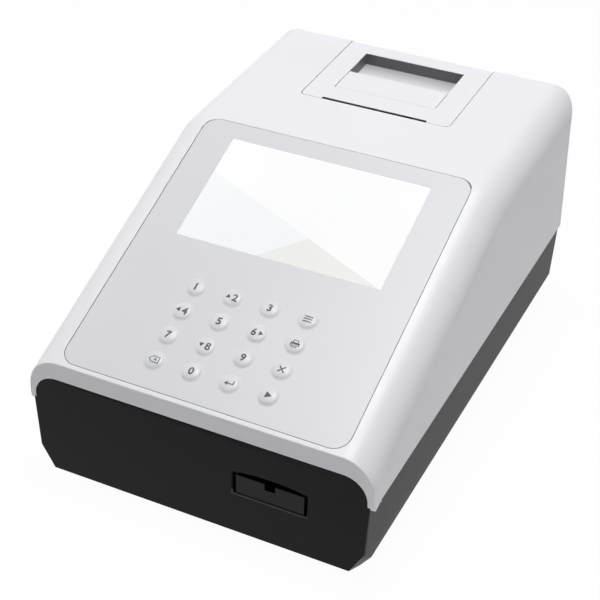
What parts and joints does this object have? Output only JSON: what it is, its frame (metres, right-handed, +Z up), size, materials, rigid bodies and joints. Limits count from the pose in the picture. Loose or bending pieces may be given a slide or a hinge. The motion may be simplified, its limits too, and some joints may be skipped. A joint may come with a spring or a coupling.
{
  "type": "urine analyzer",
  "caption": "Bench-top test strip analyzer with a sloping white cover, screen and keypad, front strip tray, top printer lid and black base.",
  "frame": {"origin": "on the resting plane under the feet, midway between the cover's sides and between its front and rear", "axes": "+X to the right seen from the front, +Y to the rear, +Z up"},
  "size_m": [0.1774, 0.2708, 0.136],
  "materials": {
    "white_plastic": "fine moulded texture",
    "black_plastic": "fine moulded texture",
    "foot_rubber": "matt",
    "screw_steel": "zinc plated",
    "panel_film": "silver grey printed film, satin",
    "window_glass": "lit screen under a clear window",
    "module_black": "matt",
    "circuit_board": "solder mask",
    "bright_steel": "plated",
    "insert_grey": "satin",
    "pad_white": "matt white reference",
    "inner_plastic": "satin",
    "motor_steel": "drawn can",
    "gear_plastic": "natural acetal",
    "lens_clear": "polished",
    "head_ceramic": "glazed",
    "platen_rubber": "ground",
    "thermal_paper": "smooth",
    "core_plastic": "satin",
    "key_plastic": "satin dome"
  },
  "bodies": {
    "case": {"bottom_case": "black_plastic", "top_cover": "white_plastic", "rubber_feet": "foot_rubber", "case_screws": "screw_steel", "board_screws": "screw_steel", "panel_overlay": "panel_film", "display_window": "window_glass", "display_module": "module_black", "keypad_board": "circuit_board", "dome_switches": "bright_steel", "tray_guide": "inner_plastic", "tray_motor": "motor_steel", "optics_housing": "inner_plastic", "sensor_lens": "lens_clear", "led_board": "circuit_board", "home_sensor": "inner_plastic", "main_board": "circuit_board", "power_jack": "inner_plastic", "serial_port": "bright_steel", "usb_port": "bright_steel", "switch_body": "inner_plastic", "lid_hinge_pin": "bright_steel", "printer_frame": "inner_plastic", "thermal_head": "head_ceramic", "head_spring": "bright_steel", "idler_pin": "bright_steel", "printer_motor": "motor_steel"},
    "tray": {"strip_tray": "black_plastic", "tray_insert": "insert_grey", "calibration_pad": "pad_white"},
    "drive_pinion": {"tray_pinion": "gear_plastic"},
    "lid": {"printer_lid": "white_plastic", "platen_bushes": "gear_plastic", "lever_pin": "bright_steel"},
    "lever": {"lid_lever": "white_plastic"},
    "platen": {"platen_shaft": "bright_steel", "platen_rubber": "platen_rubber", "platen_gear": "gear_plastic"},
    "idler": {"idler_gear": "gear_plastic"},
    "motor_gear": {"motor_pinion": "gear_plastic"},
    "paper": {"paper_roll": "thermal_paper", "paper_core": "core_plastic"},
    "rocker": {"power_rocker": "inner_plastic"},
    "key_1_cap": {"key_1": "key_plastic"},
    "key_2_cap": {"key_2": "key_plastic"},
    "key_3_cap": {"key_3": "key_plastic"},
    "key_menu_cap": {"key_menu": "key_plastic"},
    "key_4_cap": {"key_4": "key_plastic"},
    "key_5_cap": {"key_5": "key_plastic"},
    "key_6_cap": {"key_6": "key_plastic"},
    "key_print_cap": {"key_print": "key_plastic"},
    "key_7_cap": {"key_7": "key_plastic"},
    "key_8_cap": {"key_8": "key_plastic"},
    "key_9_cap": {"key_9": "key_plastic"},
    "key_cancel_cap": {"key_cancel": "key_plastic"},
    "key_clear_cap": {"key_clear": "key_plastic"},
    "key_0_cap": {"key_0": "key_plastic"},
    "key_enter_cap": {"key_enter": "key_plastic"},
    "key_start_cap": {"key_start": "key_plastic"}
  },
  "joints": [
    {"name": "tray_slide", "type": "slide", "parent": "case", "child": "tray", "axis": [0, -1, 0], "range_m": [0, 0.108]},
    {"name": "pinion_turn", "type": "hinge", "parent": "case", "child": "drive_pinion", "pos_m": [0.0132, -0.1055, 0.0314], "axis": [0, 0, 1], "continuous": true},
    {"name": "lid_hinge", "type": "hinge", "parent": "case", "child": "lid", "pos_m": [0, 0.12219, 0.1324], "axis": [-1, 0, 0], "range_deg": [0, 88]},
    {"name": "lever_lift", "type": "hinge", "parent": "lid", "child": "lever", "pos_m": [0, 0.07327, 0.13145], "axis": [1, 0, 0], "range_deg": [0, 30], "stiffness_Nm_per_rad": 0.02, "springref_deg": -11.46},
    {"name": "platen_turn", "type": "hinge", "parent": "lid", "child": "platen", "pos_m": [0, 0.0641, 0.12325], "axis": [1, 0, 0], "continuous": true},
    {"name": "idler_turn", "type": "hinge", "parent": "case", "child": "idler", "pos_m": [0, 0.06485, 0.10947], "axis": [1, 0, 0], "continuous": true},
    {"name": "motor_gear_turn", "type": "hinge", "parent": "case", "child": "motor_gear", "pos_m": [0, 0.07743, 0.11015], "axis": [1, 0, 0], "continuous": true},
    {"name": "paper_turn", "type": "hinge", "parent": "case", "child": "paper", "pos_m": [0, 0.0956, 0.10022], "axis": [1, 0, 0], "continuous": true},
    {"name": "rocker_tip", "type": "hinge", "parent": "case", "child": "rocker", "pos_m": [0.048, 0.1321, 0.0327], "axis": [0, 0, -1], "range_deg": [0, 14]},
    {"name": "key_1_press", "type": "slide", "parent": "case", "child": "key_1_cap", "axis": [0, 0.3843, -0.9232], "range_m": [0, 0.0004], "stiffness_N_per_m": 1500, "springref_m": -0.0002},
    {"name": "key_2_press", "type": "slide", "parent": "case", "child": "key_2_cap", "axis": [0, 0.3843, -0.9232], "range_m": [0, 0.0004], "stiffness_N_per_m": 1500, "springref_m": -0.0002},
    {"name": "key_3_press", "type": "slide", "parent": "case", "child": "key_3_cap", "axis": [0, 0.3843, -0.9232], "range_m": [0, 0.0004], "stiffness_N_per_m": 1500, "springref_m": -0.0002},
    {"name": "key_menu_press", "type": "slide", "parent": "case", "child": "key_menu_cap", "axis": [0, 0.3843, -0.9232], "range_m": [0, 0.0004], "stiffness_N_per_m": 1500, "springref_m": -0.0002},
    {"name": "key_4_press", "type": "slide", "parent": "case", "child": "key_4_cap", "axis": [0, 0.3843, -0.9232], "range_m": [0, 0.0004], "stiffness_N_per_m": 1500, "springref_m": -0.0002},
    {"name": "key_5_press", "type": "slide", "parent": "case", "child": "key_5_cap", "axis": [0, 0.3843, -0.9232], "range_m": [0, 0.0004], "stiffness_N_per_m": 1500, "springref_m": -0.0002},
    {"name": "key_6_press", "type": "slide", "parent": "case", "child": "key_6_cap", "axis": [0, 0.3843, -0.9232], "range_m": [0, 0.0004], "stiffness_N_per_m": 1500, "springref_m": -0.0002},
    {"name": "key_print_press", "type": "slide", "parent": "case", "child": "key_print_cap", "axis": [0, 0.3843, -0.9232], "range_m": [0, 0.0004], "stiffness_N_per_m": 1500, "springref_m": -0.0002},
    {"name": "key_7_press", "type": "slide", "parent": "case", "child": "key_7_cap", "axis": [0, 0.3843, -0.9232], "range_m": [0, 0.0004], "stiffness_N_per_m": 1500, "springref_m": -0.0002},
    {"name": "key_8_press", "type": "slide", "parent": "case", "child": "key_8_cap", "axis": [0, 0.3843, -0.9232], "range_m": [0, 0.0004], "stiffness_N_per_m": 1500, "springref_m": -0.0002},
    {"name": "key_9_press", "type": "slide", "parent": "case", "child": "key_9_cap", "axis": [0, 0.3843, -0.9232], "range_m": [0, 0.0004], "stiffness_N_per_m": 1500, "springref_m": -0.0002},
    {"name": "key_cancel_press", "type": "slide", "parent": "case", "child": "key_cancel_cap", "axis": [0, 0.3843, -0.9232], "range_m": [0, 0.0004], "stiffness_N_per_m": 1500, "springref_m": -0.0002},
    {"name": "key_clear_press", "type": "slide", "parent": "case", "child": "key_clear_cap", "axis": [0, 0.3843, -0.9232], "range_m": [0, 0.0004], "stiffness_N_per_m": 1500, "springref_m": -0.0002},
    {"name": "key_0_press", "type": "slide", "parent": "case", "child": "key_0_cap", "axis": [0, 0.3843, -0.9232], "range_m": [0, 0.0004], "stiffness_N_per_m": 1500, "springref_m": -0.0002},
    {"name": "key_enter_press", "type": "slide", "parent": "case", "child": "key_enter_cap", "axis": [0, 0.3843, -0.9232], "range_m": [0, 0.0004], "stiffness_N_per_m": 1500, "springref_m": -0.0002},
    {"name": "key_start_press", "type": "slide", "parent": "case", "child": "key_start_cap", "axis": [0, 0.3843, -0.9232], "range_m": [0, 0.0004], "stiffness_N_per_m": 1500, "springref_m": -0.0002}
  ],
  "couplings": [
    {"joint": "pinion_turn", "follows": "tray_slide", "rad_per_m": -111.11},
    {"joint": "idler_turn", "follows": "platen_turn", "ratio": -0.76923},
    {"joint": "motor_gear_turn", "follows": "platen_turn", "ratio": 1.25}
  ]
}
